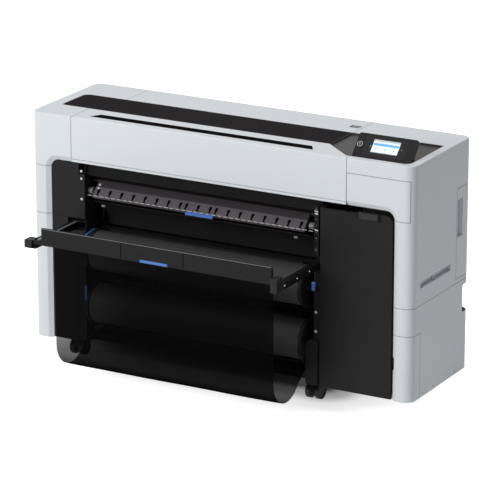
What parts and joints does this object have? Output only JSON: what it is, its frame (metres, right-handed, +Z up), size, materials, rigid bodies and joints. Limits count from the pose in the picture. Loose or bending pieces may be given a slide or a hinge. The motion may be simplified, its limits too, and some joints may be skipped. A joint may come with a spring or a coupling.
{
  "type": "large format plotter",
  "caption": "White floor-standing large format plotter with two paper rolls, an ink cabinet, a tilting touch panel and a pull-out fabric print catcher on casters",
  "frame": {"origin": "On the floor under the centre of the machine's bounding box, catcher pulled out.", "axes": "+X to the operator's right along the cabinet, +Y to the rear, +Z up."},
  "size_m": [1.909, 0.937, 1.245],
  "materials": {
    "white_shell": "satin",
    "smoked_panel": "gloss",
    "dark_plastic": "satin",
    "charcoal_trim": "matte",
    "black_metal": "satin",
    "bare_steel": "satin",
    "screen_glass": "gloss",
    "blue_plastic": "satin",
    "paper": "matte",
    "catcher_fabric": "matte",
    "roller_rubber": "matte"
  },
  "bodies": {
    "cabinet": {"base_frame": "black_metal", "upper_frame": "black_metal", "side_frames": "black_metal", "cross_beams": "black_metal", "rear_covers": "white_shell", "left_upper_cover": "white_shell", "left_middle_cover": "white_shell", "left_lower_cover": "white_shell", "right_upper_cover": "white_shell", "right_lower_cover": "white_shell", "roof_window": "smoked_panel", "control_well": "charcoal_trim", "ink_rack": "bare_steel", "ink_cartridges": "dark_plastic", "left_fascia": "dark_plastic", "left_lower_panel": "dark_plastic", "right_metal_strip": "black_metal", "right_lower_box": "dark_plastic", "platen": "charcoal_trim", "carriage_rail": "bare_steel", "carriage_drive": "roller_rubber", "capping_station": "charcoal_trim", "paper_guide": "charcoal_trim", "electronics_box": "bare_steel", "power_inlet": "dark_plastic", "screws": "bare_steel"},
    "front_cover": {"front_cover": "white_shell", "view_strip": "smoked_panel"},
    "control_panel": {"control_panel": "dark_plastic", "control_screen": "screen_glass"},
    "power_button": {"power_button": "dark_plastic"},
    "access_door": {"access_door": "white_shell"},
    "side_door": {"side_door": "white_shell"},
    "ink_door": {"ink_door": "dark_plastic"},
    "corner_cover": {"right_corner_cover": "white_shell"},
    "output_guide": {"output_guide": "charcoal_trim", "output_handle": "blue_plastic"},
    "carriage": {"carriage": "charcoal_trim"},
    "feed_roller": {"feed_roller": "roller_rubber"},
    "pinch_rollers": {"pinch_rollers": "bare_steel"},
    "upper_roll": {"upper_paper_roll": "paper", "upper_roll_adapters": "dark_plastic"},
    "lower_roll": {"lower_paper_roll": "paper", "lower_roll_adapters": "dark_plastic"},
    "upper_cover": {"upper_roll_cover": "charcoal_trim"},
    "lower_cover": {"lower_roll_cover": "charcoal_trim"},
    "upper_left_lever": {"upper_left_lever": "blue_plastic"},
    "lower_left_lever": {"lower_left_lever": "blue_plastic"},
    "upper_right_lever": {"upper_right_lever": "blue_plastic"},
    "stacker": {"stacker_arms": "dark_plastic", "stacker_bar": "black_metal", "catch_net": "catcher_fabric"},
    "caster_front_left": {"caster_yoke_front_left": "dark_plastic"},
    "wheels_front_left": {"caster_wheels_front_left": "roller_rubber"},
    "caster_front_right": {"caster_yoke_front_right": "dark_plastic"},
    "wheels_front_right": {"caster_wheels_front_right": "roller_rubber"},
    "caster_rear_left": {"caster_yoke_rear_left": "dark_plastic"},
    "wheels_rear_left": {"caster_wheels_rear_left": "roller_rubber"},
    "caster_rear_right": {"caster_yoke_rear_right": "dark_plastic"},
    "wheels_rear_right": {"caster_wheels_rear_right": "roller_rubber"}
  },
  "joints": [
    {"name": "front_cover_lift", "type": "hinge", "parent": "cabinet", "child": "front_cover", "pos_m": [0, 0.0565, 1.168], "axis": [-1, 0, 0], "range_deg": [0, 65]},
    {"name": "control_panel_tilt", "type": "hinge", "parent": "cabinet", "child": "control_panel", "pos_m": [0.7705, -0.02387, 1.14952], "axis": [1, 0, 0], "range_deg": [-20, 35]},
    {"name": "power_button_press", "type": "slide", "parent": "control_panel", "child": "power_button", "axis": [0, 0.7071, -0.7071], "range_m": [0, 0.0015], "stiffness_N_per_m": 400, "springref_m": -0.0005},
    {"name": "access_door_swing", "type": "hinge", "parent": "cabinet", "child": "access_door", "pos_m": [0.936, -0.09787, 0], "axis": [0, 0, 1], "range_deg": [0, 100]},
    {"name": "ink_door_swing", "type": "hinge", "parent": "cabinet", "child": "ink_door", "pos_m": [0.52, -0.0985, 0], "axis": [0, 0, -1], "range_deg": [0, 90]},
    {"name": "side_door_swing", "type": "hinge", "parent": "cabinet", "child": "side_door", "pos_m": [0.884, 0.4685, 0], "axis": [0, 0, 1], "range_deg": [0, 100]},
    {"name": "corner_cover_swing", "type": "hinge", "parent": "cabinet", "child": "corner_cover", "pos_m": [0.9545, -0.0195, 0], "axis": [0, 0, 1], "range_deg": [0, 90]},
    {"name": "output_guide_lift", "type": "hinge", "parent": "cabinet", "child": "output_guide", "pos_m": [0, -0.00894, 0.86025], "axis": [-1, 0, 0], "range_deg": [0, 35]},
    {"name": "carriage_travel", "type": "slide", "parent": "cabinet", "child": "carriage", "axis": [-1, 0, 0], "range_m": [0, 1.56]},
    {"name": "feed_roller_turn", "type": "hinge", "parent": "cabinet", "child": "feed_roller", "pos_m": [0, 0.2285, 0.854], "axis": [1, 0, 0], "continuous": true},
    {"name": "pinch_rollers_turn", "type": "hinge", "parent": "cabinet", "child": "pinch_rollers", "pos_m": [0, 0.2285, 0.8823], "axis": [1, 0, 0], "continuous": true},
    {"name": "upper_roll_turn", "type": "hinge", "parent": "cabinet", "child": "upper_roll", "pos_m": [0, -0.0365, 0.545], "axis": [1, 0, 0], "continuous": true},
    {"name": "lower_roll_turn", "type": "hinge", "parent": "cabinet", "child": "lower_roll", "pos_m": [0, -0.0365, 0.295], "axis": [1, 0, 0], "continuous": true},
    {"name": "upper_cover_turn", "type": "hinge", "parent": "cabinet", "child": "upper_cover", "pos_m": [0, -0.0365, 0.545], "axis": [-1, 0, 0], "range_deg": [0, 90]},
    {"name": "lower_cover_turn", "type": "hinge", "parent": "cabinet", "child": "lower_cover", "pos_m": [0, -0.0365, 0.295], "axis": [-1, 0, 0], "range_deg": [0, 90]},
    {"name": "upper_left_lever_turn", "type": "hinge", "parent": "cabinet", "child": "upper_left_lever", "pos_m": [-0.673, -0.0985, 0.624], "axis": [1, 0, 0], "range_deg": [0, 80]},
    {"name": "lower_left_lever_turn", "type": "hinge", "parent": "cabinet", "child": "lower_left_lever", "pos_m": [-0.673, -0.1065, 0.33], "axis": [1, 0, 0], "range_deg": [0, 80]},
    {"name": "upper_right_lever_turn", "type": "hinge", "parent": "cabinet", "child": "upper_right_lever", "pos_m": [0.48, -0.1005, 0.556], "axis": [1, 0, 0], "range_deg": [0, 80]},
    {"name": "stacker_slide", "type": "slide", "parent": "cabinet", "child": "stacker", "axis": [0, 1, 0], "range_m": [0, 0.27], "deforming": ["catch_net"]},
    {"name": "swivel_front_left", "type": "hinge", "parent": "cabinet", "child": "caster_front_left", "pos_m": [-0.805, 0.0185, 0.06], "axis": [0, 0, 1], "continuous": true},
    {"name": "axle_front_left", "type": "hinge", "parent": "caster_front_left", "child": "wheels_front_left", "pos_m": [-0.805, 0.0435, 0.0375], "axis": [1, 0, 0], "continuous": true},
    {"name": "swivel_front_right", "type": "hinge", "parent": "cabinet", "child": "caster_front_right", "pos_m": [0.416, 0.0185, 0.06], "axis": [0, 0, 1], "continuous": true},
    {"name": "axle_front_right", "type": "hinge", "parent": "caster_front_right", "child": "wheels_front_right", "pos_m": [0.416, 0.0435, 0.0375], "axis": [1, 0, 0], "continuous": true},
    {"name": "swivel_rear_left", "type": "hinge", "parent": "cabinet", "child": "caster_rear_left", "pos_m": [-0.805, 0.3135, 0.06], "axis": [0, 0, 1], "continuous": true},
    {"name": "axle_rear_left", "type": "hinge", "parent": "caster_rear_left", "child": "wheels_rear_left", "pos_m": [-0.805, 0.3385, 0.0375], "axis": [1, 0, 0], "continuous": true},
    {"name": "swivel_rear_right", "type": "hinge", "parent": "cabinet", "child": "caster_rear_right", "pos_m": [0.416, 0.3135, 0.06], "axis": [0, 0, 1], "continuous": true},
    {"name": "axle_rear_right", "type": "hinge", "parent": "caster_rear_right", "child": "wheels_rear_right", "pos_m": [0.416, 0.3385, 0.0375], "axis": [1, 0, 0], "continuous": true}
  ],
  "couplings": [
    {"joint": "pinch_rollers_turn", "follows": "feed_roller_turn", "ratio": -1.8}
  ]
}
